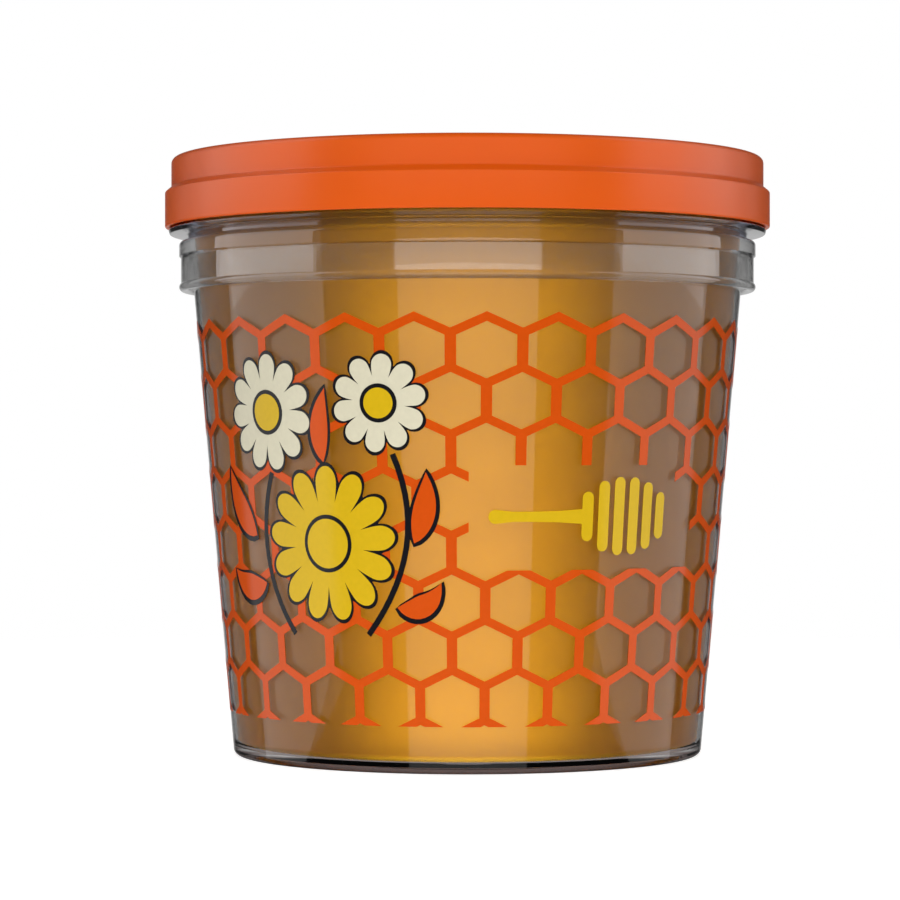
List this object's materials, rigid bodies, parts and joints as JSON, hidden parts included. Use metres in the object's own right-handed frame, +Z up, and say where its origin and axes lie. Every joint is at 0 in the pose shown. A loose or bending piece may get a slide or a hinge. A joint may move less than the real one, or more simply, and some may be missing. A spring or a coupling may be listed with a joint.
{
  "type": "honey pail",
  "caption": "Tapered clear plastic tub with stiffening skirt, guard flange and snap-fit lid that lifts off, filled with honey.",
  "frame": {"origin": "middle of the pail's foot, on the plane it stands on", "axes": "+Z up along the pail's axis; -Y is the printed front, +X the right of someone facing the front"},
  "size_m": [0.115, 0.115, 0.113],
  "materials": {
    "clear_plastic": "clear glossy injection moulded polypropylene",
    "honey": "clear amber liquid honey",
    "lid_plastic": "satin orange injection moulded polyethylene",
    "orange_ink": "opaque orange ink printed on the tub",
    "yellow_ink": "opaque yellow ink printed on the tub",
    "cream_ink": "opaque cream ink printed on the tub",
    "black_ink": "opaque black ink printed on the tub"
  },
  "bodies": {
    "tub": {"tub": "clear_plastic", "honey": "honey"},
    "lid": {"lid": "lid_plastic"}
  },
  "joints": [
    {"name": "lid_lift", "type": "slide", "parent": "tub", "child": "lid", "axis": [0, 0, 1], "range_m": [0, 0.06]}
  ]
}
